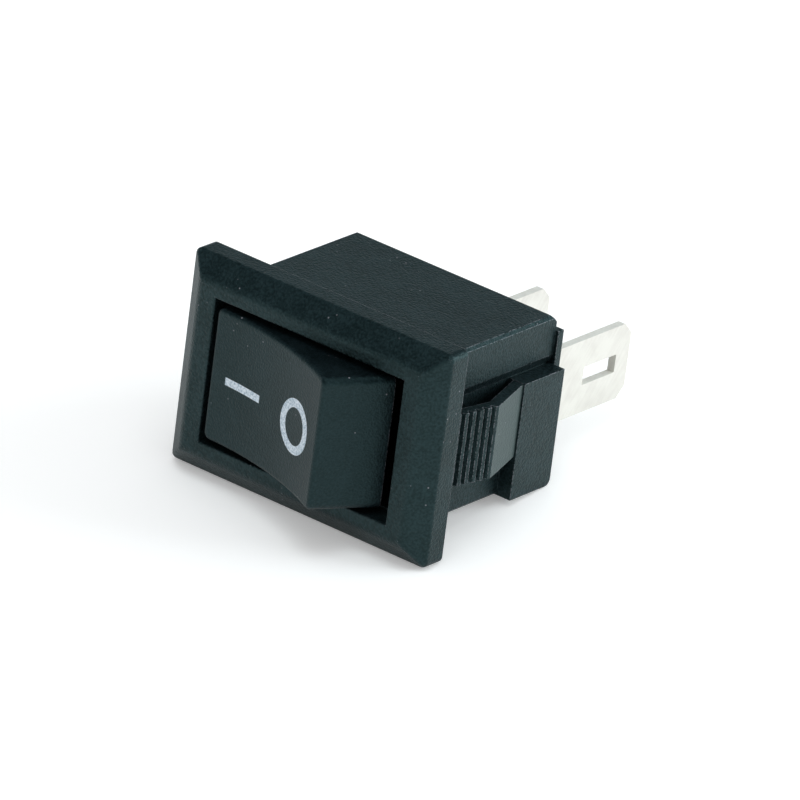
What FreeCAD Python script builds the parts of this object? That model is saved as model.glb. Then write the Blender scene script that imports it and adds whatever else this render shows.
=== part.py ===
"""Miniature snap-in panel rocker switch, one pole, on and off, with two blade terminals.

Frame: millimetres. +X runs along the bezel, +Z is up and -Y faces the user, so the switch goes into
its panel along +Y. The origin is the centre of the bezel's seat, the plane that meets the panel.
The switch is drawn with the I end (-X) pressed in and the O end (+X) standing out: switched on.
"""
import FreeCAD, Part
import os
import Sketcher

doc = FreeCAD.newDocument("panel_rocker_switch")
dim = doc.addObject("Spreadsheet::Sheet", "dim")
fit = doc.addObject("Spreadsheet::Sheet", "fit")
rows = {"dim": 0, "fit": 0}


def cell(sheet, alias, content):
    """Writes one named cell below the last one of its sheet."""
    rows[sheet.Name] += 1
    place = f"B{rows[sheet.Name]}"
    sheet.set(f"A{rows[sheet.Name]}", alias)
    sheet.set(place, content)
    sheet.setAlias(place, alias)


def derived(alias, formula):
    """A place or a size that follows from the driving dimensions."""
    cell(fit, alias, "=" + formula)


# Driving dimensions, in millimetres and degrees
SIZES = {
    # Body behind the panel
    "body_length": 11.66,
    "body_height": 8.2,
    "body_depth": 8.75,
    "end_wall": 0.47,
    "side_wall": 0.6,
    "floor_thickness": 1.45,
    "rear_bevel": 0.35,
    "edge_break": 0.15,
    "plinth_overhang": 0.16,
    "plinth_margin": 0.8,
    "plinth_depth": 0.4,
    # Bezel: a frame round the mouth, with a flat land and a sloped border
    "mouth_end_gap": 0.14,
    "mouth_side_gap": 0.05,
    "mouth_depth": 1.4,
    "mouth_softening": 0.08,
    "land_end": 1.0,
    "land_side": 0.7,
    "border_width": 1.0,
    "border_rise": 0.8,
    "border_softening": 0.6,
    "mitre_softening": 0.2,
    "bezel_depth": 1.9,
    "bezel_corner": 0.35,
    "seat_width": 0.3,
    "seat_relief": 0.2,
    # Snap-in wings and the blocks that carry them, one at each end
    "wing_block_reach": 0.77,
    "wing_block_length": 2.9,
    "wing_block_top": 1.68,
    "wing_block_heel": 0.35,
    "wing_width": 3.58,
    "wing_drop": 0.13,
    "wing_thickness": 0.55,
    "wing_step": 0.1,
    "wing_peak_reach": 0.75,
    "wing_peak_depth": 3.06,
    "wing_tip_gap": 0.6,
    "rib_slope": 10.8,
    "rib_pitch": 0.44,
    "rib_depth": 0.2,
    "rib_crest": 0.18,
    "recess_depth": 0.18,
    "recess_top": 2.12,
    "recess_slope": 0.42,
    # Rocker button and the trunnions that it turns on
    "throw": 16.0,
    "pivot_depth": 1.06,
    "pressed_proud": 0.06,
    "rocker_end_gap": 0.11,
    "rocker_side_gap": 0.3,
    "face_radius": 15.8,
    "rocker_wall": 0.8,
    "skirt_reach": 1.0,
    "ear_radius": 1.5,
    "trunnion_radius": 0.9,
    "trunnion_seat": 0.3,
    "trunnion_gap": 0.05,
    "rocker_corner": 0.35,
    "face_softening": 0.22,
    "stem_radius": 1.15,
    "plunger_reach": 1.17,
    "web_thickness": 0.7,
    "web_depth": 0.95,
    # Plunger and the spring behind it
    "plunger_radius": 0.62,
    "plunger_rounding": 0.56,
    "plunger_length": 2.65,
    "plunger_gap": 0.02,
    "bore_gap": 0.04,
    "bore_floor": 1.48,
    "spigot_radius": 0.32,
    "spigot_length": 0.6,
    "spring_wire": 0.2,
    "spring_radius": 0.55,
    "spring_turns": 6.5,
    # Moving contact: a bent strip that rocks on the edge of the common terminal
    "tilt": 7.0,
    "strip_thickness": 0.3,
    "strip_margin": 0.15,
    "strip_width": 3.6,
    "strip_nest": 0.14,
    "fulcrum_gap": 0.04,
    "notch_depth": 0.55,
    "notch_width": 0.9,
    # Silver contact tips
    "contact_inset": 1.35,
    "tip_radius": 0.85,
    "moving_tip_height": 0.35,
    "fixed_tip_height": 0.27,
    "contact_gap": 0.02,
    "shank_radius": 0.42,
    "shank_gap": 0.02,
    "upset_radius": 0.62,
    "upset_height": 0.16,
    # Blade terminals
    "blade_thickness": 0.4,
    "blade_width": 3.75,
    "blade_drop": 0.28,
    "blade_reach": 7.1,
    "terminal_margin": 0.36,
    "blade_corner": 0.55,
    "blade_hole_length": 2.4,
    "blade_hole_height": 0.9,
    "blade_hole_margin": 0.95,
    "slot_gap": 0.03,
    "foot_margin": 0.12,
    "bend_radius": 0.35,
    "shoulder_width": 4.9,
    "shoulder_height": 0.55,
    "prong_width": 0.46,
    "prong_height": 0.8,
    "rest_width": 0.5,
    "rest_length": 2.4,
}
for alias, value in SIZES.items():
    cell(dim, alias, str(value))

# Housing
derived("body_x", "dim.body_length / 2")
derived("body_z", "dim.body_height / 2")
derived("cavity_x", "body_x - dim.end_wall")
derived("cavity_z", "body_z - dim.side_wall")
derived("floor_y", "dim.body_depth - dim.floor_thickness")
derived("rear_y", "dim.body_depth + dim.plinth_depth")
derived("mouth_x", "cavity_x + dim.mouth_end_gap")
derived("mouth_z", "cavity_z + dim.mouth_side_gap")
derived("land_x", "mouth_x + dim.land_end")
derived("land_z", "mouth_z + dim.land_side")
derived("bezel_x", "land_x + dim.border_width")
derived("bezel_z", "land_z + dim.border_width")

# Wings
derived("block_x", "body_x + dim.wing_block_reach")
derived("block_y", "dim.body_depth - dim.wing_block_length")
derived("root_x", "block_x - dim.wing_step")
derived("peak_x", "block_x + dim.wing_peak_reach")
derived("tip_x", "peak_x - (dim.wing_peak_depth - dim.wing_tip_gap) * tan(dim.rib_slope * 1 deg)")
derived("ramp_angle", "atan((peak_x - root_x) / (block_y - dim.wing_peak_depth))")
derived("wing_skin", "dim.wing_thickness / cos(ramp_angle)")
derived("wing_low", "-dim.wing_drop - dim.wing_width / 2")

# Rocker: with one end pressed, that end wall stands square to the bezel, in line with its mouth
derived("pressed_x", "cavity_x - dim.rocker_end_gap")
derived("pressed_y", "dim.pivot_depth + dim.bezel_depth + dim.pressed_proud")
derived("ridge_x", "pressed_x * cos(dim.throw * 1 deg) - pressed_y * sin(dim.throw * 1 deg)")
derived("ridge_y", "pressed_x * sin(dim.throw * 1 deg) + pressed_y * cos(dim.throw * 1 deg)")
derived("skirt_x", "ridge_x + (ridge_y - dim.skirt_reach) * tan(dim.throw * 1 deg)")
derived("face_centre", "ridge_y + sqrt(dim.face_radius ^ 2 - ridge_x ^ 2)")
derived("rocker_z", "mouth_z - dim.rocker_side_gap")
derived("inner_y", "face_centre - dim.face_radius - dim.rocker_wall")
derived("inner_x", "ridge_x + (ridge_y - inner_y) * tan(dim.throw * 1 deg) - dim.rocker_wall")
derived("inner_skirt_x", "skirt_x - dim.rocker_wall")

# Contacts, placed inwards from the end wall and forwards from the floor
derived("terminal_x", "cavity_x - dim.terminal_margin - dim.blade_thickness / 2")
derived("contact_place", "terminal_x - dim.contact_inset")
derived("strip_reach", "contact_place + dim.tip_radius + dim.strip_margin")
derived("contact_x", "contact_place + dim.strip_nest * sin(dim.tilt * 1 deg)")
derived("foot_x", "contact_x - dim.tip_radius - dim.foot_margin")
derived("foot_y", "floor_y - dim.blade_thickness")
derived("strip_y", "foot_y - dim.fixed_tip_height - dim.contact_gap - dim.moving_tip_height")
derived("fulcrum_y", "strip_y + dim.strip_nest * cos(dim.tilt * 1 deg)")
derived("strip_front", "dim.strip_nest + dim.strip_thickness / cos(dim.tilt * 1 deg)")

# Plunger, pushed against the middle of the strip
derived("nose_y", "fulcrum_y - strip_front - (dim.plunger_radius + dim.plunger_gap) / cos(dim.tilt * 1 deg)")
derived("nose_reach", "nose_y - dim.pivot_depth")
derived("nose_tip", "nose_reach + dim.plunger_radius")
derived("shoulder_y", "nose_tip - dim.plunger_length")
derived("stem_end", "nose_reach - dim.plunger_reach")
derived("bore_end", "dim.bore_floor - inner_y")

# Blades
derived("blade_tip", "dim.body_depth + dim.blade_reach")
derived("blade_low", "-dim.blade_width / 2 - dim.blade_drop")
derived("blade_high", "dim.blade_width / 2 - dim.blade_drop")
derived("prong_in", "dim.strip_width / 2 - dim.notch_depth + dim.fulcrum_gap")
derived("prong_out", "prong_in + dim.prong_width")
derived("prong_y", "fulcrum_y - dim.prong_height")
doc.recompute()


def plane(body, role):
    """The named origin plane of a body."""
    return next(item for item in body.Origin.OriginFeatures if item.Role == role)


def new_body(name):
    body = doc.addObject("PartDesign::Body", name)
    body.Label = name
    return body


def sketch(body, name, role, offset=None):
    """A sketch on an origin plane; XZ sketches face -Y, so their offset counts towards the user."""
    drawn = body.newObject("Sketcher::SketchObject", name)
    drawn.AttachmentSupport = [(plane(body, role), "")]
    drawn.MapMode = "FlatFace"
    if offset:
        drawn.setExpression("AttachmentOffset.Base.z", offset)
    return drawn


def pin_point(drawn, curve, end, across, up):
    """Fixes a point of a curve at two named distances from the sketch's origin."""
    for kind, text in (("DistanceX", across), ("DistanceY", up)):
        number = drawn.addConstraint(Sketcher.Constraint(kind, -1, 1, curve, end, 1.0))
        drawn.setExpression(f"Constraints[{number}]", text)


def polygon(drawn, corners):
    """A closed outline through corners whose two distances are formulas."""
    turn = 360.0 / len(corners)
    first = drawn.GeometryCount
    spots = [
        FreeCAD.Rotation(FreeCAD.Vector(0, 0, 1), turn * k).multVec(FreeCAD.Vector(5, 0, 0))
        for k in range(len(corners))
    ]
    for k, spot in enumerate(spots):
        drawn.addGeometry(Part.LineSegment(spot, spots[(k + 1) % len(spots)]))
    for k, (across, up) in enumerate(corners):
        following = first + (k + 1) % len(corners)
        drawn.addConstraint(Sketcher.Constraint("Coincident", first + k, 2, following, 1))
        pin_point(drawn, first + k, 1, across, up)


def rectangle(drawn, left, right, low, high):
    polygon(drawn, [(left, low), (right, low), (right, high), (left, high)])


def block(drawn, half_width, half_height):
    """A rectangle centred on the sketch's origin."""
    rectangle(drawn, f"-({half_width})", half_width, f"-({half_height})", half_height)


def circle(drawn, across, up, radius):
    number = drawn.addGeometry(
        Part.Circle(FreeCAD.Vector(1, 1, 0), FreeCAD.Vector(0, 0, 1), 1.0)
    )
    pin_point(drawn, number, 3, across, up)
    ring = drawn.addConstraint(Sketcher.Constraint("Radius", number, 1.0))
    drawn.setExpression(f"Constraints[{ring}]", radius)


def extrude(kind, drawn, length, towards, name):
    """A pad or pocket from its sketch: towards is forward, backward or both, along the normal."""
    body = drawn.getParentGeoFeatureGroup()
    feature = body.newObject(f"PartDesign::{kind}", name)
    feature.Profile = drawn
    feature.Type = "Length"
    if towards == "both":
        feature.SideType = "Symmetric"
    feature.Reversed = towards == ("backward" if kind == "Pad" else "forward")
    feature.setExpression("Length", length)
    drawn.Visibility = False
    doc.recompute()
    return feature


def pad(drawn, length, towards, name):
    return extrude("Pad", drawn, length, towards, name)


def pocket(drawn, length, towards, name):
    return extrude("Pocket", drawn, length, towards, name)


def edges_where(feature, test):
    """Names of the edges whose middle point and direction pass a test."""
    chosen = []
    for number, edge in enumerate(feature.Shape.Edges, 1):
        middle = edge.valueAt((edge.FirstParameter + edge.LastParameter) / 2)
        across = edge.Vertexes[-1].Point - edge.Vertexes[0].Point
        if test(middle, across):
            chosen.append(f"Edge{number}")
    return chosen


def dress(kind, feature, edges, formula, name):
    """A fillet or chamfer on named edges of a body's last feature."""
    body = feature.getParentGeoFeatureGroup()
    made = body.newObject(f"PartDesign::{kind}", name)
    made.Base = (feature, edges)
    made.setExpression("Radius" if kind == "Fillet" else "Size", formula)
    doc.recompute()
    return made


def mirror(body, features, role, name):
    made = body.newObject("PartDesign::Mirrored", name)
    made.Originals = features
    made.MirrorPlane = (plane(body, role), [""])
    body.Tip = made
    doc.recompute()
    return made


def near(one, other):
    return abs(one - other) < 1e-4


def number(sheet, alias):
    return float(sheet.get(alias))


def rib_point(along, depth="0"):
    """A point of the wing's ribbed slope, some way forward of its peak and some way under it."""
    across = f"fit.peak_x - ({along}) * tan(dim.rib_slope * 1 deg) - ({depth})"
    return across, f"dim.wing_peak_depth - ({along})"


def wing_outline():
    """Corners of the wing in plan: ramp, peak, as many ribs as fit before the tip, plain inner side."""
    buried = "fit.block_y + dim.wing_thickness / 2"
    corners = [("fit.root_x", buried), ("fit.root_x", "fit.block_y"), ("fit.peak_x", "dim.wing_peak_depth")]
    ribbed = number(dim, "wing_peak_depth") - number(dim, "wing_tip_gap") - number(dim, "rib_crest")
    groove = "(dim.rib_pitch - dim.rib_crest)"
    for rib in range(int(ribbed / number(dim, "rib_pitch"))):
        start = f"dim.rib_crest + {rib} * dim.rib_pitch"
        corners.append(rib_point(start))
        corners.append(rib_point(f"{start} + {groove} / 3", "dim.rib_depth"))
        corners.append(rib_point(f"{start} + {groove} * 2 / 3", "dim.rib_depth"))
        corners.append(rib_point(f"{start} + {groove}"))
    corners.append(("fit.tip_x", "dim.wing_tip_gap"))
    corners.append(("fit.tip_x - dim.wing_thickness", "dim.wing_tip_gap"))
    corners.append(("fit.peak_x - fit.wing_skin", "dim.wing_peak_depth"))
    corners.append(("fit.root_x - fit.wing_skin", "fit.block_y"))
    corners.append(("fit.root_x - fit.wing_skin", buried))
    return corners


def bezel(body):
    """The frame: a plate with a sloped border, rounded corners and a rim to seat on the panel."""
    plate = sketch(body, "bezel_outline", "XZ_Plane")
    block(plate, "fit.bezel_x", "fit.bezel_z")
    slab = pad(plate, "dim.bezel_depth", "forward", "bezel_plate")
    front = -number(dim, "bezel_depth")

    def front_edge(middle, across):
        return near(middle.y, front)

    slope = dress("Chamfer", slab, edges_where(slab, front_edge), "dim.border_rise", "border")
    slope.ChamferType = "Two distances"
    slope.setExpression("Size2", "dim.border_width")
    doc.recompute()
    soft = dress("Fillet", slope, edges_where(slope, front_edge), "dim.border_softening", "soft_border")
    side_x, side_z = number(fit, "bezel_x"), number(fit, "bezel_z")

    def corner(middle, across):
        return near(abs(middle.x), side_x) and near(abs(middle.z), side_z)

    rounded = dress("Fillet", soft, edges_where(soft, corner), "dim.bezel_corner", "bezel_corners")
    land_x, land_z = number(fit, "land_x"), number(fit, "land_z")

    def mitre(middle, across):
        outside = side_x > abs(middle.x) > land_x and side_z > abs(middle.z) > land_z
        return outside and abs(across.x) > 1e-4 and abs(across.y) > 1e-4

    dress("Fillet", rounded, edges_where(rounded, mitre), "dim.mitre_softening", "soft_mitres")
    relief = sketch(body, "seat_relief_outline", "XZ_Plane")
    block(relief, "fit.bezel_x - dim.seat_width", "fit.bezel_z - dim.seat_width")
    pocket(relief, "dim.seat_relief", "forward", "seat_recess")


def shell(body):
    """The body behind the panel, still solid: broken edges, bevelled rear and a thin rear plinth."""
    walls = sketch(body, "body_outline", "XZ_Plane", "dim.seat_relief")
    wide, high = "fit.body_x", "fit.body_z"
    less_wide, less_high = f"({wide} - dim.edge_break)", f"({high} - dim.edge_break)"
    polygon(walls, [
        (wide, f"-{less_high}"),
        (wide, less_high),
        (less_wide, high),
        (f"-{less_wide}", high),
        (f"-{wide}", less_high),
        (f"-{wide}", f"-{less_high}"),
        (f"-{less_wide}", f"-{high}"),
        (less_wide, f"-{high}"),
    ])
    pad(walls, "dim.seat_relief + dim.body_depth", "backward", "body_block")
    for name, sign in (("top_bevel", ""), ("under_bevel", "-")):
        wedge = sketch(body, f"{name}_outline", "YZ_Plane")
        polygon(wedge, [
            ("dim.body_depth - 2 * dim.rear_bevel", f"{sign}({high} + dim.rear_bevel)"),
            ("dim.body_depth + dim.rear_bevel", f"{sign}({high} - 2 * dim.rear_bevel)"),
            ("dim.body_depth + dim.rear_bevel", f"{sign}({high} + dim.rear_bevel)"),
        ])
        pocket(wedge, "2 * dim.body_length", "both", name)
    plinth = sketch(body, "plinth_outline", "XZ_Plane", "-dim.body_depth")
    block(plinth, f"{wide} + dim.plinth_overhang", f"{high} - dim.plinth_margin")
    pad(plinth, "dim.plinth_depth", "backward", "plinth")


def wings(body):
    """At each end a recess, a block with a rounded heel, and a ribbed wing that springs from it."""
    hollow = sketch(body, "wing_recess_outline", "XZ_Plane")
    wall_x = "fit.body_x - dim.recess_depth"
    polygon(hollow, [
        (wall_x, "fit.wing_low"),
        ("fit.block_x", "fit.wing_low"),
        ("fit.block_x", "dim.recess_top"),
        ("fit.body_x", "dim.recess_top"),
        (wall_x, "dim.recess_top - dim.recess_slope"),
    ])
    recess = pocket(hollow, "dim.body_depth", "backward", "wing_recess")
    lump = sketch(body, "wing_block_outline", "XY_Plane", "-fit.body_z")
    rectangle(lump, "fit.cavity_x", "fit.block_x", "fit.block_y", "dim.body_depth")
    carrier = pad(lump, "fit.body_z + dim.wing_block_top", "forward", "wing_block")
    plan = sketch(body, "wing_outline", "XY_Plane", "-dim.wing_drop")
    polygon(plan, wing_outline())
    wing = pad(plan, "dim.wing_width", "both", "wing")
    both = mirror(body, [recess, carrier, wing], "YZ_Plane", "other_wing")
    body_x, rear, bottom = number(fit, "body_x"), number(dim, "body_depth"), -number(fit, "body_z")

    def heel(middle, across):
        return abs(middle.x) > body_x and near(middle.y, rear) and near(middle.z, bottom)

    dress("Fillet", both, edges_where(both, heel), "dim.wing_block_heel", "wing_block_heels")


def inside(body):
    """Mouth, cavity, trunnion cups, blade slots and the rest that stops the moving contact."""
    mouth = sketch(body, "mouth_outline", "XZ_Plane", "dim.bezel_depth")
    block(mouth, "fit.mouth_x", "fit.mouth_z")
    opened = pocket(mouth, "dim.mouth_depth", "backward", "mouth")
    mouth_x, mouth_z = number(fit, "mouth_x"), number(fit, "mouth_z")
    front = -number(dim, "bezel_depth")

    def lip(middle, across):
        within = abs(middle.x) < mouth_x + 1e-4 and abs(middle.z) < mouth_z + 1e-4
        return within and near(middle.y, front)

    dress("Fillet", opened, edges_where(opened, lip), "dim.mouth_softening", "mouth_lip")
    hold = sketch(body, "cavity_outline", "XZ_Plane", "dim.bezel_depth")
    block(hold, "fit.cavity_x", "fit.cavity_z")
    pocket(hold, "dim.bezel_depth + fit.floor_y", "backward", "cavity")
    cups = sketch(body, "trunnion_cups", "XY_Plane")
    circle(cups, "0", "dim.pivot_depth", "dim.trunnion_radius + dim.trunnion_gap")
    reach = "2 * (fit.cavity_z + dim.trunnion_seat + dim.trunnion_gap)"
    pocket(cups, reach, "both", "cups")
    slots = sketch(body, "slot_outlines", "XZ_Plane", "-fit.rear_y")
    half = "(dim.blade_thickness / 2 + dim.slot_gap)"
    for middle in ("0", "fit.terminal_x"):
        sides = [f"{middle} - {half}", f"{middle} + {half}"]
        rectangle(slots, *sides, "fit.blade_low - dim.slot_gap", "fit.blade_high + dim.slot_gap")
    pocket(slots, "fit.rear_y - fit.floor_y", "forward", "blade_slots")
    rest = sketch(body, "rest_outline", "XZ_Plane", "-fit.floor_y")
    ends = [f"-fit.contact_x {sign} dim.rest_width / 2" for sign in "-+"]
    rectangle(rest, *ends, "-dim.rest_length / 2", "dim.rest_length / 2")
    pad(rest, "fit.floor_y - fit.strip_y - dim.contact_gap", "forward", "strip_rest")


def housing():
    """Bezel, body and both snap-in wings, moulded as one piece and open to the front."""
    body = new_body("housing")
    bezel(body)
    shell(body)
    wings(body)
    inside(body)
    return body


def turn_with_rocker(body):
    """Places a body drawn square to the rocker, with its origin on the pivot, at the pressed tilt."""
    body.Placement = FreeCAD.Placement(
        FreeCAD.Vector(), FreeCAD.Rotation(FreeCAD.Vector(0, 0, -1), number(dim, "throw"))
    )
    body.setExpression("Placement.Base.y", "dim.pivot_depth")
    body.setExpression("Placement.Rotation.Angle", "dim.throw")


def rocker():
    """Hollow button with a dished face, two ears with trunnions and a bored stem."""
    body = new_body("rocker")
    wedge = sketch(body, "rocker_outline", "XY_Plane")
    polygon(wedge, [
        ("-fit.ridge_x", "-fit.ridge_y"),
        ("-fit.skirt_x", "-dim.skirt_reach"),
        ("fit.skirt_x", "-dim.skirt_reach"),
        ("fit.ridge_x", "-fit.ridge_y"),
    ])
    full = "2 * fit.rocker_z"
    pad(wedge, full, "both", "wedge")
    dish = sketch(body, "dish_outline", "XY_Plane")
    circle(dish, "0", "-fit.face_centre", "dim.face_radius")
    dished = pocket(dish, f"{full} * 2", "both", "dish")
    ridge_x, ridge_y = number(fit, "ridge_x"), number(fit, "ridge_y")
    side = number(fit, "rocker_z")

    skirt = number(dim, "skirt_reach")

    def post(middle, across):
        return near(abs(middle.z), side) and abs(middle.x) > ridge_x and middle.y < -skirt - 1e-4

    rounded = dress("Fillet", dished, edges_where(dished, post), "dim.rocker_corner", "rocker_corners")

    def face_edge(middle, across):
        rim = near(abs(middle.z), side) and abs(middle.x) < ridge_x and middle.y < -skirt - 1e-4
        return rim or near(middle.y, -ridge_y)

    dress("Fillet", rounded, edges_where(rounded, face_edge), "dim.face_softening", "soft_face")
    ears = sketch(body, "ear_outline", "XY_Plane")
    circle(ears, "0", "0", "dim.ear_radius")
    pad(ears, full, "both", "ears")
    pins = sketch(body, "trunnion_outline", "XY_Plane")
    circle(pins, "0", "0", "dim.trunnion_radius")
    pad(pins, "2 * (fit.cavity_z + dim.trunnion_seat)", "both", "trunnions")
    inside = sketch(body, "hollow_outline", "XY_Plane")
    polygon(inside, [
        ("-fit.inner_x", "-fit.inner_y"),
        ("-fit.inner_skirt_x", "-dim.skirt_reach"),
        ("-fit.inner_skirt_x", "dim.ear_radius"),
        ("fit.inner_skirt_x", "dim.ear_radius"),
        ("fit.inner_skirt_x", "-dim.skirt_reach"),
        ("fit.inner_x", "-fit.inner_y"),
    ])
    pocket(inside, "2 * (fit.rocker_z - dim.rocker_wall)", "both", "hollow")
    root = "fit.inner_y + dim.rocker_wall / 2"
    post = sketch(body, "stem_outline", "XZ_Plane", root)
    circle(post, "0", "0", "dim.stem_radius")
    pad(post, f"{root} + fit.stem_end", "backward", "stem")
    rib = sketch(body, "web_outline", "XY_Plane")
    web_x = "fit.inner_x + dim.rocker_wall / 2"
    rectangle(rib, f"-({web_x})", web_x, f"-({root})", "-(fit.inner_y - dim.web_depth)")
    pad(rib, "dim.web_thickness", "both", "web")
    well = sketch(body, "bore_outline", "XZ_Plane", "-fit.stem_end")
    circle(well, "0", "0", "dim.plunger_radius + dim.bore_gap")
    pocket(well, "fit.stem_end - fit.bore_end", "forward", "bore")
    turn_with_rocker(body)
    return body


def plunger():
    """Round-nosed pin that slides in the stem and pushes the moving contact over."""
    body = new_body("plunger")
    shaft = sketch(body, "plunger_outline", "XZ_Plane", "-fit.shoulder_y")
    circle(shaft, "0", "0", "dim.plunger_radius")
    pin = pad(shaft, "dim.plunger_length", "backward", "shaft")
    tip = number(fit, "nose_tip")

    def nose(middle, across):
        return near(middle.y, tip)

    dress("Fillet", pin, edges_where(pin, nose), "dim.plunger_rounding", "nose")
    peg = sketch(body, "spigot_outline", "XZ_Plane", "-fit.shoulder_y")
    circle(peg, "0", "0", "dim.spigot_radius")
    pad(peg, "dim.spigot_length", "forward", "spigot")
    turn_with_rocker(body)
    return body


def plunger_spring():
    """Compression spring between the bore's end and the plunger, its wire drawn with eight sides."""
    body = new_body("plunger_spring")
    wire = sketch(body, "wire_outline", "XY_Plane")
    start, radius = "fit.bore_end + dim.spring_wire / 2 + dim.slot_gap", "dim.spring_wire / 2"
    section = []
    for turn in range(0, 360, 45):
        across = f"dim.spring_radius + {radius} * cos({turn} * 1 deg)"
        section.append((across, f"{start} + {radius} * sin({turn} * 1 deg)"))
    polygon(wire, section)
    coil = body.newObject("PartDesign::AdditiveHelix", "coil")
    coil.Profile = wire
    coil.ReferenceAxis = (wire, ["V_Axis"])
    coil.Mode = "height-turns-angle"
    coil.setExpression("Height", "fit.shoulder_y - fit.bore_end - dim.spring_wire - 2 * dim.slot_gap")
    coil.setExpression("Turns", "dim.spring_turns")
    turn_with_rocker(body)
    return body


def moving_contact():
    """Spring bronze strip bent to a shallow vee, which rocks on the common terminal's edge."""
    body = new_body("moving_contact")
    bend, slope = "tan(dim.tilt * 1 deg)", "dim.tilt * 1 deg"
    end_y = f"-(dim.strip_nest + fit.strip_reach * {bend})"
    front_x = f"(fit.strip_reach - dim.strip_thickness * sin({slope}))"
    front_y = f"{end_y} - dim.strip_thickness * cos({slope})"
    vee = sketch(body, "strip_outline", "XY_Plane")
    polygon(vee, [
        ("0", "-dim.strip_nest"),
        ("fit.strip_reach", end_y),
        (front_x, front_y),
        ("0", "-fit.strip_front"),
        (f"-{front_x}", front_y),
        ("-fit.strip_reach", end_y),
    ])
    pad(vee, "dim.strip_width", "both", "strip")
    groove = sketch(body, "fulcrum_outline", "XY_Plane")
    circle(groove, "0", "0", "dim.blade_thickness / 2 + dim.fulcrum_gap")
    pocket(groove, "2 * dim.strip_width", "both", "fulcrum_groove")
    notches = sketch(body, "notch_outlines", "XZ_Plane")
    for sign in ("", "-"):
        near_z = f"{sign}(dim.strip_width / 2 - dim.notch_depth)"
        far_z = f"{sign}(dim.strip_width / 2 + dim.notch_depth)"
        rectangle(notches, "-dim.notch_width / 2", "dim.notch_width / 2", near_z, far_z)
    pocket(notches, "2 * fit.strip_reach", "both", "notches")
    drill = sketch(body, "rivet_hole_outline", "XZ_Plane")
    circle(drill, "fit.contact_x", "0", "dim.shank_radius + dim.shank_gap")
    drill.AttachmentOffset = FreeCAD.Placement(
        FreeCAD.Vector(), FreeCAD.Rotation(FreeCAD.Vector(0, -1, 0), number(dim, "tilt"))
    )
    drill.setExpression("AttachmentOffset.Rotation.Angle", "dim.tilt")
    pocket(drill, "2 * fit.strip_reach", "both", "rivet_hole")
    body.Placement = FreeCAD.Placement(
        FreeCAD.Vector(), FreeCAD.Rotation(FreeCAD.Vector(0, 0, 1), number(dim, "tilt"))
    )
    body.setExpression("Placement.Base.y", "fit.fulcrum_y")
    body.setExpression("Placement.Rotation.Angle", "dim.tilt")
    return body


def contact_tip(name, head, shank, seat, towards):
    """Silver rivet: a head on the contact side and a shank through the strip or the foot."""
    body = new_body(name)
    away = "backward" if towards == "forward" else "forward"
    disc = sketch(body, f"{name}_head", "XZ_Plane")
    circle(disc, "0", "0", "dim.tip_radius")
    crown = pad(disc, head, towards, f"{name}_crown")
    height = number(dim, head.split(".")[1]) * (-1 if towards == "forward" else 1)

    def crown_edge(middle, across):
        return near(middle.y, height)

    dress("Fillet", crown, edges_where(crown, crown_edge), f"{head} / 2", f"{name}_dome")
    pin = sketch(body, f"{name}_pin", "XZ_Plane")
    circle(pin, "0", "0", "dim.shank_radius")
    pad(pin, shank, away, f"{name}_shank")
    body.setExpression("Placement.Base.x", "fit.contact_x")
    body.setExpression("Placement.Base.y", seat)
    return body


def moving_contact_tip():
    """Rivet of the moving contact, upset behind the strip."""
    thickness = "dim.strip_thickness"
    body = contact_tip("moving_contact_tip", "dim.moving_tip_height", thickness, "fit.strip_y", "backward")
    ring = sketch(body, "upset_outline", "XZ_Plane", thickness)
    circle(ring, "0", "0", "dim.upset_radius")
    pad(ring, "dim.upset_height", "forward", "upset")
    return body


def blade_holes_and_corners(body, last, faces_x):
    """The rectangular hole and the cut corners that both blades share."""
    window = sketch(body, "blade_hole_outline", "YZ_Plane")
    far = "fit.blade_tip - dim.blade_hole_margin"
    low = "-dim.blade_drop - dim.blade_hole_height / 2"
    high = "-dim.blade_drop + dim.blade_hole_height / 2"
    rectangle(window, f"{far} - dim.blade_hole_length", far, low, high)
    holed = pocket(window, f"2 * ({faces_x})", "both", "blade_hole")
    tip = number(fit, "blade_tip")

    def corner(middle, across):
        return near(middle.y, tip) and abs(across.x) > 1e-4

    return dress("Chamfer", holed, edges_where(holed, corner), "dim.blade_corner", "blade_corners")


def common_terminal():
    """Centre blade: its inner end is the edge that the moving contact rocks on, between two prongs."""
    body = new_body("common_terminal")
    plate = sketch(body, "blade_outline", "YZ_Plane")
    shelf = "fit.floor_y - dim.shoulder_height"
    half = [
        ("fit.floor_y", "dim.shoulder_width / 2"),
        (shelf, "dim.shoulder_width / 2"),
        (shelf, "fit.prong_out"),
        ("fit.prong_y", "fit.prong_out"),
        ("fit.prong_y", "fit.prong_in"),
        ("fit.fulcrum_y", "fit.prong_in"),
    ]
    other = [(along, f"-{up}") for along, up in reversed(half)]
    outer = [("fit.blade_tip", "fit.blade_low"), ("fit.blade_tip", "fit.blade_high")]
    corners = outer + [("fit.floor_y", "fit.blade_high")] + half + other
    polygon(plate, corners + [("fit.floor_y", "fit.blade_low")])
    blade = pad(plate, "dim.blade_thickness", "both", "blade")
    edge = sketch(body, "fulcrum_edge_outline", "XY_Plane")
    circle(edge, "0", "fit.fulcrum_y", "dim.blade_thickness / 2")
    rounded = pad(edge, "2 * fit.prong_in", "both", "fulcrum_edge")
    blade_holes_and_corners(body, rounded, "dim.blade_thickness")
    return body


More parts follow.
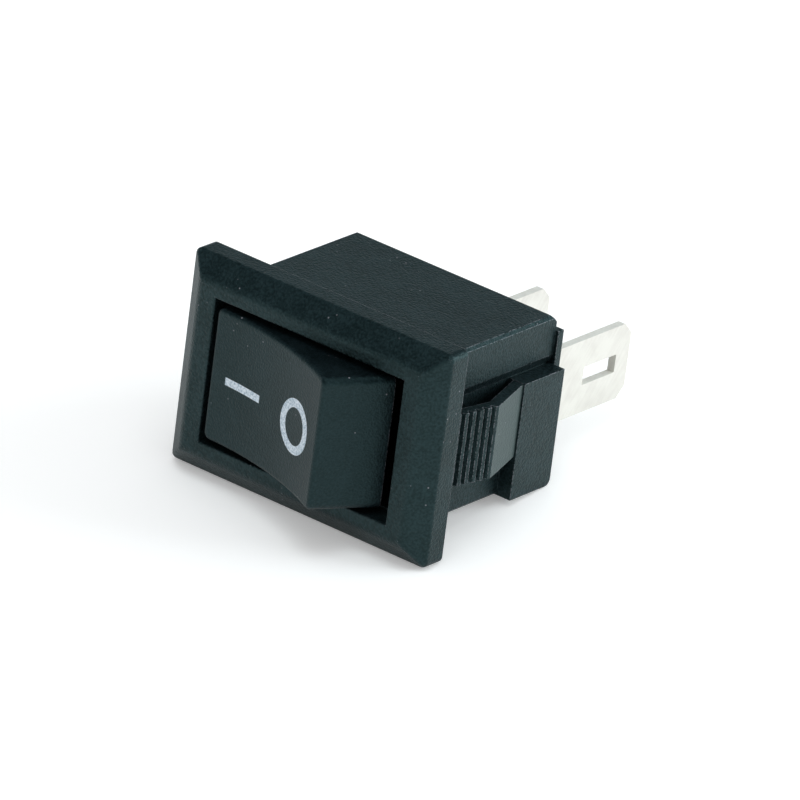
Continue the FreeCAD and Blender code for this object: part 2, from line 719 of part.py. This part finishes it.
def switched_terminal():
    """End blade, folded inside to a foot that lies on the floor and carries the fixed contact."""
    body = new_body("switched_terminal")
    outer = "fit.terminal_x + dim.blade_thickness / 2"
    inner = "fit.terminal_x - dim.blade_thickness / 2"
    fold = sketch(body, "fold_outline", "XY_Plane", "-dim.blade_drop")
    polygon(fold, [
        (outer, "fit.blade_tip"),
        (outer, "fit.foot_y"),
        ("fit.foot_x", "fit.foot_y"),
        ("fit.foot_x", "fit.floor_y"),
        (inner, "fit.floor_y"),
        (inner, "fit.blade_tip"),
    ])
    folded = pad(fold, "dim.blade_width", "both", "folded_strip")
    outer_x = number(fit, "terminal_x") + number(dim, "blade_thickness") / 2
    foot_y = number(fit, "foot_y")

    def knee(middle, across):
        return near(middle.x, outer_x) and near(middle.y, foot_y)

    dress("Fillet", folded, edges_where(folded, knee), "dim.bend_radius", "knee")
    rivet = sketch(body, "foot_hole_outline", "XZ_Plane", "-fit.floor_y")
    circle(rivet, "fit.contact_x", "0", "dim.shank_radius + dim.shank_gap")
    drilled = pocket(rivet, "dim.blade_thickness", "forward", "foot_hole")
    blade_holes_and_corners(body, drilled, outer)
    return body


def fixed_contact_tip():
    """Rivet of the end terminal's foot, flush underneath."""
    seat = "fit.foot_y"
    return contact_tip("fixed_contact_tip", "dim.fixed_tip_height", "dim.blade_thickness", seat, "forward")


pieces = [
    housing(),
    rocker(),
    plunger(),
    plunger_spring(),
    moving_contact(),
    moving_contact_tip(),
    common_terminal(),
    switched_terminal(),
    fixed_contact_tip(),
]
doc.recompute()

for item in doc.Objects:
    if "Invalid" in item.State or "Error" in item.State:
        raise RuntimeError(f"{item.Label} failed: {item.State}")

os.makedirs("parts", exist_ok=True)
for piece in pieces:
    if piece.Shape.isNull() or not piece.Shape.isValid() or len(piece.Shape.Solids) != 1:
        raise RuntimeError(f"{piece.Label} is not one valid solid")
    box = piece.Shape.BoundBox
    print(
        f"{piece.Label}: {piece.Shape.Volume:.3f} mm3, x {box.XMin:.2f} {box.XMax:.2f},"
        f" y {box.YMin:.2f} {box.YMax:.2f}, z {box.ZMin:.2f} {box.ZMax:.2f}"
    )
    piece.Shape.exportStep(f"parts/{piece.Label}.step")
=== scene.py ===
"""Looks of a miniature panel rocker switch: moulded nylon, printed marks, tin-plated blades and a spring.

Metres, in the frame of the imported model: +X along the bezel, +Y into the panel, +Z up across the bezel.
"""
from math import cos, pi, radians, sin
import bpy
import numpy as np
from mathutils import Matrix, Vector


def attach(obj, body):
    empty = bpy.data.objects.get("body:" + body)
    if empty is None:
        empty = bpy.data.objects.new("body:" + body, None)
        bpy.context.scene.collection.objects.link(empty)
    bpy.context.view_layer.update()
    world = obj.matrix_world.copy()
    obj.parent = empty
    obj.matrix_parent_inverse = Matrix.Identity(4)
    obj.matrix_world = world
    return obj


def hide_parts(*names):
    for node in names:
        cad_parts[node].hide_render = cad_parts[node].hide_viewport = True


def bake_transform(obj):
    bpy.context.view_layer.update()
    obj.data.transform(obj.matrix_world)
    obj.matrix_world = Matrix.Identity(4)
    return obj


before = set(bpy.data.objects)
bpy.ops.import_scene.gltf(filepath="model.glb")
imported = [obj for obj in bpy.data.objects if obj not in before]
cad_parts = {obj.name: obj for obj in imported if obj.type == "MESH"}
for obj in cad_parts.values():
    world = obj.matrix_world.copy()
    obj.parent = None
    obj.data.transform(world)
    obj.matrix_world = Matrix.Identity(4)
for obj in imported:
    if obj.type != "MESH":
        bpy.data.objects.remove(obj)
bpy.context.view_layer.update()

MM = 0.001

# Sizes that the marks, the spring and the floor share with the solids, in millimetres and degrees
THROW = 16.0
PIVOT_DEPTH = 1.06
FACE_RADIUS = 15.8
RIDGE_X, RIDGE_Y = 4.2142, 4.3501
FACE_CENTRE = RIDGE_Y + (FACE_RADIUS ** 2 - RIDGE_X ** 2) ** 0.5
COIL_TURNS, COIL_RADIUS = 6.5, 0.55
COIL_FOOT, COIL_HEAD = -1.4677, 2.1919
WIRE_RADIUS = 0.1
BEZEL_BOTTOM = 5.25
HEEL_DEPTH, HEEL_BOTTOM = 8.75, 4.1


def colour(code):
    """sRGB hex to linear red, green, blue and full alpha."""
    srgb = np.array([int(code[k:k + 2], 16) for k in (1, 3, 5)]) / 255
    linear = np.where(srgb <= 0.04045, srgb / 12.92, ((srgb + 0.055) / 1.055) ** 2.4)
    return (*linear, 1.0)


def node(tree, kind, settings=None, **inputs):
    """Adds a shader node: settings are its own fields, inputs are values or sockets to link from.

    A name's underscores stand for spaces, and slot with a number is the socket in that place.
    """
    made = tree.nodes.new(kind)
    for field, value in (settings or {}).items():
        setattr(made, field, value)
    for name, value in inputs.items():
        words = name.replace("_", " ")
        socket = made.inputs[int(words[4:])] if words.startswith("slot") else made.inputs[words]
        if isinstance(value, bpy.types.NodeSocket):
            tree.links.new(value, socket)
        else:
            socket.default_value = value
    return made


def material(name, **surface):
    """A material with one Principled shader, its tree and its object coordinates."""
    made = bpy.data.materials.new(name)
    made.use_nodes = True
    tree = made.node_tree
    shader = tree.nodes["Principled BSDF"]
    for key, value in surface.items():
        shader.inputs[key.replace("_", " ")].default_value = value
    where = tree.nodes.new("ShaderNodeTexCoord").outputs["Object"]
    return made, tree, shader, where


def ramp(tree, factor, *stops):
    """A colour ramp through stops, each a place and a linear colour."""
    made = node(tree, "ShaderNodeValToRGB", Fac=factor)
    points = made.color_ramp.elements
    while len(points) < len(stops):
        points.new(0.5)
    for point, (place, shade) in zip(points, stops):
        point.position, point.color = place, shade
    return made.outputs["Color"]


def rounded_edges(tree, radius):
    """Shading normals that round a moulding's sharp edges, and a mask of its convex edges, 0 to 1, that carries
    a painted edge highlight.

    Radius is in millimetres. An edge shows where the rounded normal leaves the flat one, and the open
    side of a corner is told from the closed one by how much of the air in front of it is free.
    """
    flat_agreement, edge_agreement = 0.998, 0.96
    closed_air, open_air, air_reach = 0.7, 0.95, 0.25
    rounded = node(tree, "ShaderNodeBevel", {"samples": 6}, Radius=radius * MM)
    flat = tree.nodes.new("ShaderNodeNewGeometry").outputs["Normal"]
    agree = node(tree, "ShaderNodeVectorMath", {"operation": "DOT_PRODUCT"},
                 slot0=rounded.outputs["Normal"], slot1=flat)
    turned = node(tree, "ShaderNodeMapRange", Value=agree.outputs["Value"],
                  From_Min=flat_agreement, From_Max=edge_agreement, To_Min=0.0, To_Max=1.0)
    air = node(tree, "ShaderNodeAmbientOcclusion", {"samples": 4, "only_local": True}, Distance=air_reach * MM)
    free = node(tree, "ShaderNodeMapRange", Value=air.outputs["AO"],
                From_Min=closed_air, From_Max=open_air, To_Min=0.0, To_Max=1.0)
    mask = node(tree, "ShaderNodeMath", {"operation": "MULTIPLY"},
                slot0=turned.outputs["Result"], slot1=free.outputs["Result"])
    return rounded.outputs["Normal"], mask.outputs["Value"]


def flecks(tree, where, size, share):
    """A mask of single dots, each of its own strength, in a share of cells of this size in millimetres."""
    dot_rim, dot_core = 0.32, 0.12
    cells = node(tree, "ShaderNodeTexVoronoi", Vector=where, Scale=1 / (size * MM))
    lot = node(tree, "ShaderNodeSeparateColor", Color=cells.outputs["Color"])
    chosen = node(tree, "ShaderNodeMath", {"operation": "LESS_THAN"}, slot0=lot.outputs["Red"], slot1=share)
    near = node(tree, "ShaderNodeMapRange", Value=cells.outputs["Distance"],
                From_Min=dot_rim, From_Max=dot_core, To_Min=0.0, To_Max=1.0)
    dot = node(tree, "ShaderNodeMath", {"operation": "MULTIPLY"},
               slot0=chosen.outputs["Value"], slot1=near.outputs["Result"])
    faint = node(tree, "ShaderNodeMath", {"operation": "MULTIPLY"},
                 slot0=dot.outputs["Value"], slot1=lot.outputs["Green"])
    return faint.outputs["Value"]


def moulded_nylon(name, dark, pale, grain, relief, fleck_share, edge_highlight, painted_ramp_light):
    """Black glass-filled nylon, moulded in a spark-eroded tool: a blue-green black with a fine pebble
    that breaks up the gloss, a few paler flecks that are painted glints, and a painted highlight
    that makes its open edges a little lighter. Grain is the pebble's size in millimetres; flecks are
    drawn a pixel wide to show. The last argument sets how far the wings' ramps, which face the light
    from the right and behind, are painted paler as a painted highlight."""
    edge_radius, fleck_size, cloud_size, pebble_depth = 0.04, 0.16, 1.6, 0.35
    made, tree, shader, where = material(name, IOR=1.46, Roughness=0.43)
    shader.inputs["Specular Tint"].default_value = colour("#C0F9FC")
    # Rounded shading normals, and the convex-edge mask that carries the painted edge highlight
    rounded, edge = rounded_edges(tree, edge_radius)
    pebble = node(tree, "ShaderNodeTexNoise", Vector=where, Scale=1 / (grain * MM), Detail=2.0)
    cloud = node(tree, "ShaderNodeTexNoise", Vector=where, Scale=1 / (cloud_size * MM), Detail=4.0)
    tone = node(tree, "ShaderNodeMath", {"operation": "MULTIPLY_ADD"},
                slot0=cloud.outputs["Fac"], slot1=0.4, slot2=pebble.outputs["Fac"])
    shade = ramp(tree, tone.outputs["Value"], (0.55, colour(dark)), (0.85, colour(pale)))

    # The painted edge highlight goes only on the pebble's high spots along an edge
    patchy = node(tree, "ShaderNodeMapRange", Value=pebble.outputs["Fac"],
                  From_Min=0.4, From_Max=0.56, To_Min=0.0, To_Max=edge_highlight)
    painted_edge_highlight = node(tree, "ShaderNodeMath", {"operation": "MULTIPLY"},
                       slot0=edge, slot1=patchy.outputs["Result"])
    # Painted glints in single flecks and the painted edge highlight together; below they lighten the colour
    # towards a pale purple-grey
    light = node(tree, "ShaderNodeMath", {"operation": "MAXIMUM"},
                 slot0=flecks(tree, where, fleck_size, fleck_share), slot1=painted_edge_highlight.outputs["Value"])

    # The wings' ramps are the surfaces that face sideways and a little into the panel; they face the light from
    # the right and behind, and get a painted highlight that mixes them towards a paler grey
    face = node(tree, "ShaderNodeSeparateXYZ", Vector=where.node.outputs["Normal"])
    inward = node(tree, "ShaderNodeMapRange", Value=face.outputs["Y"],
                  From_Min=0.15, From_Max=0.25, To_Min=0.0, To_Max=painted_ramp_light)
    turned = node(tree, "ShaderNodeMath", {"operation": "ABSOLUTE"}, slot0=face.outputs["X"])
    sideways = node(tree, "ShaderNodeMath", {"operation": "GREATER_THAN"},
                    slot0=turned.outputs["Value"], slot1=0.9)
    painted_ramp_light_mask = node(tree, "ShaderNodeMath", {"operation": "MULTIPLY"},
                   slot0=inward.outputs["Result"], slot1=sideways.outputs["Value"])
    with_painted_ramp_light = node(tree, "ShaderNodeMix", {"data_type": "RGBA"},
                 slot0=painted_ramp_light_mask.outputs["Value"], slot6=shade, slot7=colour("#45504F"))

    paint = node(tree, "ShaderNodeMix", {"data_type": "RGBA"},
                 slot0=light.outputs["Value"], slot6=with_painted_ramp_light.outputs[2], slot7=colour("#9C9AA2"))
    tree.links.new(paint.outputs[2], shader.inputs["Base Color"])
    bump = node(tree, "ShaderNodeBump", Strength=relief, Distance=grain * pebble_depth * MM,
                Height=pebble.outputs["Fac"], Normal=rounded)
    tree.links.new(bump.outputs["Normal"], shader.inputs["Normal"])
    return made


def tin_plate():
    """Bright tin on brass strip: nearly white faces with a soft haze, faint slanting rubs and a few grey
    specks. The sheared edges are rougher and scatter light."""
    rub_slant, rub_stretch, rub_width, haze_size = 51, 9.0, 0.16, 0.9
    fleck_size, fleck_share, rub_depth = 0.3, 0.05, 0.006
    made, tree, shader, where = material("blade_tin_plate")
    slanted = node(tree, "ShaderNodeMapping", {"vector_type": "TEXTURE"}, Vector=where,
                   Rotation=(radians(rub_slant), 0.0, 0.0), Scale=(1.0, rub_stretch, 1.0))
    rubs = node(tree, "ShaderNodeTexNoise", Vector=slanted.outputs["Vector"],
                Scale=1 / (rub_width * MM), Detail=2.0)
    haze = node(tree, "ShaderNodeTexNoise", Vector=where, Scale=1 / (haze_size * MM), Detail=5.0)
    tone = node(tree, "ShaderNodeMath", {"operation": "MULTIPLY_ADD"},
                slot0=rubs.outputs["Fac"], slot1=0.7, slot2=haze.outputs["Fac"])
    plate = ramp(tree, tone.outputs["Value"], (0.6, colour("#EAE7E0")), (1.1, colour("#F4F2EB")))
    specked = node(tree, "ShaderNodeMix", {"data_type": "RGBA"},
                   slot0=flecks(tree, where, fleck_size, fleck_share), slot6=plate, slot7=colour("#9FA3A0"))
    tree.links.new(specked.outputs[2], shader.inputs["Base Color"])

    # A blade's broad faces look along X, and its sheared edges don't
    face = node(tree, "ShaderNodeSeparateXYZ", Vector=where.node.outputs["Normal"])
    turned = node(tree, "ShaderNodeMath", {"operation": "ABSOLUTE"}, slot0=face.outputs["X"])
    sheared = node(tree, "ShaderNodeMapRange", Value=turned.outputs["Value"],
                   From_Min=0.75, From_Max=0.4, To_Min=0.0, To_Max=1.0)
    metal = node(tree, "ShaderNodeMapRange", Value=sheared.outputs["Result"], To_Min=1.0, To_Max=0.4)
    tree.links.new(metal.outputs["Result"], shader.inputs["Metallic"])
    rough = node(tree, "ShaderNodeMapRange", Value=rubs.outputs["Fac"], To_Min=0.3, To_Max=0.42)
    scatter = node(tree, "ShaderNodeMath", {"operation": "MULTIPLY_ADD"},
                   slot0=sheared.outputs["Result"], slot1=0.25, slot2=rough.outputs["Result"])
    tree.links.new(scatter.outputs["Value"], shader.inputs["Roughness"])
    bump = node(tree, "ShaderNodeBump", Strength=0.25, Distance=rub_depth * MM, Height=rubs.outputs["Fac"])
    tree.links.new(bump.outputs["Normal"], shader.inputs["Normal"])
    return made


def drawn_metal(name, dark, pale, shine, grain):
    """A small metal piece inside the switch, with the haze and fine lines of its rolling or drawing."""
    made, tree, shader, where = material(name, Metallic=1.0)
    haze = node(tree, "ShaderNodeTexNoise", Vector=where, Scale=1 / (grain * MM), Detail=4.0)
    shade = ramp(tree, haze.outputs["Fac"], (0.35, colour(dark)), (0.65, colour(pale)))
    tree.links.new(shade, shader.inputs["Base Color"])
    rough = node(tree, "ShaderNodeMapRange", Value=haze.outputs["Fac"], To_Min=shine - 0.06, To_Max=shine + 0.08)
    tree.links.new(rough.outputs["Result"], shader.inputs["Roughness"])
    return made


def clouded_plain(name, size, detail, dark, pale, **surface):
    """A plain surface whose colour clouds between two stops, each a place in the noise and an sRGB hex."""
    made, tree, shader, where = material(name, **surface)
    cloud = node(tree, "ShaderNodeTexNoise", Vector=where, Scale=1 / (size * MM), Detail=detail)
    shade = ramp(tree, cloud.outputs["Fac"], *((place, colour(code)) for place, code in (dark, pale)))
    tree.links.new(shade, shader.inputs["Base Color"])
    return made


housing_nylon = moulded_nylon("housing_black_nylon", "#000102", "#1A2528", grain=0.115, relief=1.0,
                              fleck_share=0.014, edge_highlight=0.75, painted_ramp_light=0.8)
rocker_nylon = moulded_nylon("rocker_black_nylon", "#000103", "#131C20", grain=0.1, relief=0.9,
                             fleck_share=0.008, edge_highlight=0.7, painted_ramp_light=0.0)
# Milky acetal: smooth and waxy, a little uneven in tone
acetal = clouded_plain("plunger_acetal", 0.8, 3.0, (0.3, "#DDD9CC"), (0.7, "#EBE8DE"), Roughness=0.35, IOR=1.48)
# Hard-drawn wire: a darker grey with tight highlights
spring_steel = drawn_metal("spring_steel_wire", "#8E9092", "#B9BBBD", 0.28, 0.3)
# Rolled bronze: warm, with a hazy sheen
bronze = drawn_metal("rolled_phosphor_bronze", "#A8703F", "#C98F5A", 0.34, 0.5)
# Silver alloy: the palest and finest-grained metal in the switch
silver = drawn_metal("silver_contact_alloy", "#C9C9C4", "#E6E6E2", 0.3, 0.2)
tin = tin_plate()
# Pad-printed ink: pale blue-white, thin enough for the moulding's pebble to mottle it
ink = clouded_plain("pale_marking_ink", 0.1, 3.0, (0.35, "#A3B8C7"), (0.6, "#E2ECF5"), Roughness=0.55)

finishes = {
    "housing": housing_nylon,
    "rocker": rocker_nylon,
    "plunger": acetal,
    "plunger_spring": spring_steel,
    "moving_contact": bronze,
    "moving_contact_tip": silver,
    "fixed_contact_tip": silver,
    "common_terminal": tin,
    "switched_terminal": tin,
}
for name, finish in finishes.items():
    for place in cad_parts[name].material_slots:
        place.material = finish


def in_button(x, y, z):
    """Points of the button's own upright frame, turned by the throw about the pivot, in millimetres."""
    turn = radians(THROW)
    return np.stack([x * cos(turn) + y * sin(turn), PIVOT_DEPTH - x * sin(turn) + y * cos(turn), z], axis=-1)


def on_face(along, across, lift):
    """Points of the button's dished face, lifted towards the user, in millimetres.

    Along is the arc from the button's middle towards its O end and across is height. The face is a
    cylinder of FACE_RADIUS about an axis in front of it, turned by the throw about the pivot.
    """
    angle = along / FACE_RADIUS
    reach = FACE_RADIUS - lift
    x, y = reach * np.sin(angle), reach * np.cos(angle) - FACE_CENTRE
    return in_button(x, y, across + 0 * x)


def grid_mesh(name, points, finish, wrap):
    """A mesh from a grid of points: rows run along the path and columns round the section.

    Columns always close on themselves. Rows close when wrap is true, and otherwise each end is a face.
    """
    rows, columns = points.shape[:2]
    index = np.arange(rows * columns).reshape(rows, columns)
    here = index if wrap else index[:-1]
    there = np.roll(index, -1, axis=0) if wrap else index[1:]
    faces = np.stack([here, np.roll(here, -1, axis=1), np.roll(there, -1, axis=1), there], axis=-1)
    quads = faces.reshape(-1, 4).tolist()
    if not wrap:
        quads += [index[0, ::-1].tolist(), index[-1].tolist()]
    mesh = bpy.data.meshes.new(name)
    mesh.from_pydata((points * MM).reshape(-1, 3).tolist(), [], quads)
    piece = bpy.data.objects.new(name, mesh)
    bpy.context.collection.objects.link(piece)
    mesh.materials.append(finish)
    return piece


INK_PROUD, INK_SUNK = 0.012, 0.03
BAR_START, BAR_END, BAR_LOW, BAR_HIGH = -3.30, -1.02, -0.24, 0.13
RING_ALONG, RING_ACROSS = 1.95, -0.10
RING_OUTER = (1.26, 1.31)
RING_INNER = (0.83, 0.895)


def bar_mark():
    """The I: a flat rectangle swept along the face's arc, its section four corners."""
    along = np.linspace(BAR_START, BAR_END, 25)[:, None]
    across = np.array([BAR_LOW, BAR_HIGH, BAR_HIGH, BAR_LOW])[None, :]
    lift = np.array([INK_PROUD, INK_PROUD, -INK_SUNK, -INK_SUNK])[None, :]
    bar = grid_mesh("mark_on", on_face(along, across, lift), ink, False)
    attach(bar, "button")


def ring_mark():
    """The O: a flat rectangle swept round an oval on the face, each of its four section corners on the
    outer or the inner oval."""
    angle = np.linspace(0, 2 * pi, 97)[:-1, None]
    inner_share = np.array([0.0, 1.0, 1.0, 0.0])[None, :]
    lift = np.array([INK_PROUD, INK_PROUD, -INK_SUNK, -INK_SUNK])[None, :]
    wide, high = (outer * (1 - inner_share) + inner * inner_share
                  for outer, inner in zip(RING_OUTER, RING_INNER))
    along = RING_ALONG + wide * np.cos(angle)
    across = RING_ACROSS + high * np.sin(angle)
    ring = grid_mesh("mark_off", on_face(along, across, lift), ink, True)
    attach(ring, "button")


def coil_spring():
    """The plunger's spring: a round wire swept along a helix about the button's upright axis.

    With share f from 0 to 1 along the coil and a its turn angle, the wire's middle is at COIL_RADIUS
    times (cos a, -sin a) across the axis and rises evenly. Its section is a circle laid square to the
    helix: out from the axis by cos b, and by sin b along the direction square to both the radius and
    the wire.
    """
    rows_per_turn, section_points, seat_room = 28, 12, 0.003
    share = np.linspace(0, 1, int(COIL_TURNS * rows_per_turn) + 1)[:, None]
    round_wire = np.linspace(0, -2 * pi, section_points + 1)[:-1][None, :]
    angle = 2 * pi * COIL_TURNS * share
    low, high = COIL_FOOT + WIRE_RADIUS, COIL_HEAD - WIRE_RADIUS
    slope = (high - low) / (2 * pi * COIL_TURNS * COIL_RADIUS)
    flat, rise = 1 / (1 + slope ** 2) ** 0.5, slope / (1 + slope ** 2) ** 0.5
    out = (WIRE_RADIUS - seat_room) * np.cos(round_wire)
    up = (WIRE_RADIUS - seat_room) * np.sin(round_wire)
    x = (COIL_RADIUS + out) * np.cos(angle) + up * rise * np.sin(angle)
    z = -(COIL_RADIUS + out) * np.sin(angle) + up * rise * np.cos(angle)
    y = low + (high - low) * share + up * flat
    spring = grid_mesh("coil_spring", in_button(x, y, z), spring_steel, False)
    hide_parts("plunger_spring")
    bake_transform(spring)


bar_mark()
ring_mark()
coil_spring()

# The camera as fitted to the photograph's corners, and the pixels of its picture
PICTURE_PIXELS, FOCAL_PIXELS, SENSOR = 800, 11999, 36.0
SEEN_RIGHT = (0.77121, 0.62568, 0.11727)
SEEN_UP = (-0.33771, 0.24597, 0.90854)
SEEN_BACK = (0.53961, -0.74028, 0.40100)
SEEN_FROM = (0.294094, -0.397895, 0.217090)


def camera():
    """The photograph's long view: 36 degrees round from the front and 24 degrees above the panel's normal."""
    lens = bpy.data.cameras.new("camera")
    lens.sensor_width = SENSOR
    lens.lens = SENSOR * FOCAL_PIXELS / PICTURE_PIXELS
    lens.clip_start, lens.clip_end = 0.01, 10.0
    seen = bpy.data.objects.new("camera", lens)
    turned = Matrix((SEEN_RIGHT, SEEN_UP, SEEN_BACK)).transposed().to_4x4()
    seen.matrix_world = Matrix.Translation(SEEN_FROM) @ turned
    bpy.context.collection.objects.link(seen)
    bpy.context.scene.camera = seen


LAMP_AIM = Vector((0, 0.004, 0))
LAMP_TINT = colour("#F2FCFF")[:3]


def lamp(name, place, size, power):
    """A square soft lamp that looks from place at the switch, in metres and watts."""
    light = bpy.data.lights.new(name, "AREA")
    light.size, light.energy, light.color = size, power, LAMP_TINT
    made = bpy.data.objects.new(name, light)
    made.location = place
    made.rotation_euler = (Vector(place) - LAMP_AIM).to_track_quat("Z", "Y").to_euler()
    bpy.context.collection.objects.link(made)


TABLE_REACH = 900.0
GLOW_IN_GLOSS, GLOW_TO_CAMERA = 0.1, 0.25


def floor():
    """The pale table: the switch lies on its bezel's lower edge and its heels, so the table slopes in
    the switch's own frame. A faint glow makes it white to the camera and pale in gloss, and it keeps
    the switch's shadow."""
    slope = (BEZEL_BOTTOM - HEEL_BOTTOM) / HEEL_DEPTH
    corners = TABLE_REACH * np.array([(-1, -1), (1, -1), (1, 1), (-1, 1)])
    height = -BEZEL_BOTTOM + slope * corners[:, 1]
    points = np.column_stack([corners, height]) * MM
    mesh = bpy.data.meshes.new("table")
    mesh.from_pydata(points.tolist(), [], [(0, 1, 2, 3)])
    table = bpy.data.objects.new("table", mesh)
    bpy.context.collection.objects.link(table)
    paper = bpy.data.materials.new("white_paper")
    paper.use_nodes = True
    tree = paper.node_tree
    tree.nodes.clear()
    matt = node(tree, "ShaderNodeBsdfDiffuse", Color=colour("#F4F4F4"))
    ray = node(tree, "ShaderNodeLightPath")
    level = node(tree, "ShaderNodeMapRange", Value=ray.outputs["Is Camera Ray"],
                 To_Min=GLOW_IN_GLOSS, To_Max=GLOW_TO_CAMERA)
    glow = node(tree, "ShaderNodeEmission", Color=(1, 1, 1, 1), Strength=level.outputs["Result"])
    both = node(tree, "ShaderNodeAddShader", slot0=matt.outputs[0], slot1=glow.outputs[0])
    direct = node(tree, "ShaderNodeMath", {"operation": "MAXIMUM"},
                  slot0=ray.outputs["Is Camera Ray"], slot1=ray.outputs["Is Glossy Ray"])
    seen = node(tree, "ShaderNodeMath", {"operation": "MAXIMUM"},
                slot0=direct.outputs["Value"], slot1=ray.outputs["Is Transmission Ray"])
    choice = node(tree, "ShaderNodeMixShader", Fac=seen.outputs["Value"],
                  slot1=matt.outputs[0], slot2=both.outputs[0])
    node(tree, "ShaderNodeOutputMaterial", Surface=choice.outputs[0])
    mesh.materials.append(paper)


# What gloss meets at each height, from 0 at the horizon to 1 overhead, in linear red, green and blue
GLOSS_SKY = (
    (0.0, (1.0, 1.0, 1.0, 1.0)),
    (0.22, (0.37, 0.54, 0.56, 1.0)),
    (0.42, (0.105, 0.18, 0.205, 1.0)),
    (0.65, (0.042, 0.07, 0.085, 1.0)),
)
PLAIN_SKY = (0.62, 0.62, 0.62, 1.0)
WHITE_SKY = (1.0, 1.0, 1.0, 1.0)


def studio():
    """White sweep all round for the camera, which gloss sees as bright at the horizon and dim above,
    as in a room with one low bright side, and a plain level for the shading."""
    world = bpy.data.worlds.new("studio")
    bpy.context.scene.world = world
    world.use_nodes = True
    tree = world.node_tree
    tree.nodes.clear()
    way = tree.nodes.new("ShaderNodeTexCoord").outputs["Generated"]
    height = node(tree, "ShaderNodeSeparateXYZ", Vector=way)
    ray = node(tree, "ShaderNodeLightPath")
    plain = node(tree, "ShaderNodeMix", {"data_type": "RGBA"}, slot0=ray.outputs["Is Glossy Ray"],
                 slot6=PLAIN_SKY, slot7=ramp(tree, height.outputs["Z"], *GLOSS_SKY))
    seen = node(tree, "ShaderNodeMath", {"operation": "MAXIMUM"},
                slot0=ray.outputs["Is Camera Ray"], slot1=ray.outputs["Is Transmission Ray"])
    sweep = node(tree, "ShaderNodeMix", {"data_type": "RGBA"}, slot0=seen.outputs["Value"],
                 slot6=plain.outputs[2], slot7=WHITE_SKY)
    sky = node(tree, "ShaderNodeBackground", Color=sweep.outputs[2], Strength=1.0)
    node(tree, "ShaderNodeOutputWorld", Surface=sky.outputs[0])


camera()
studio()
floor()
lamp("right_softbox", (0.30, 0.22, 0.16), size=0.25, power=1.0)
lamp("high_fill", (0.05, -0.1, 0.5), size=0.3, power=0.7)
bpy.context.scene.view_settings.view_transform = "Standard"
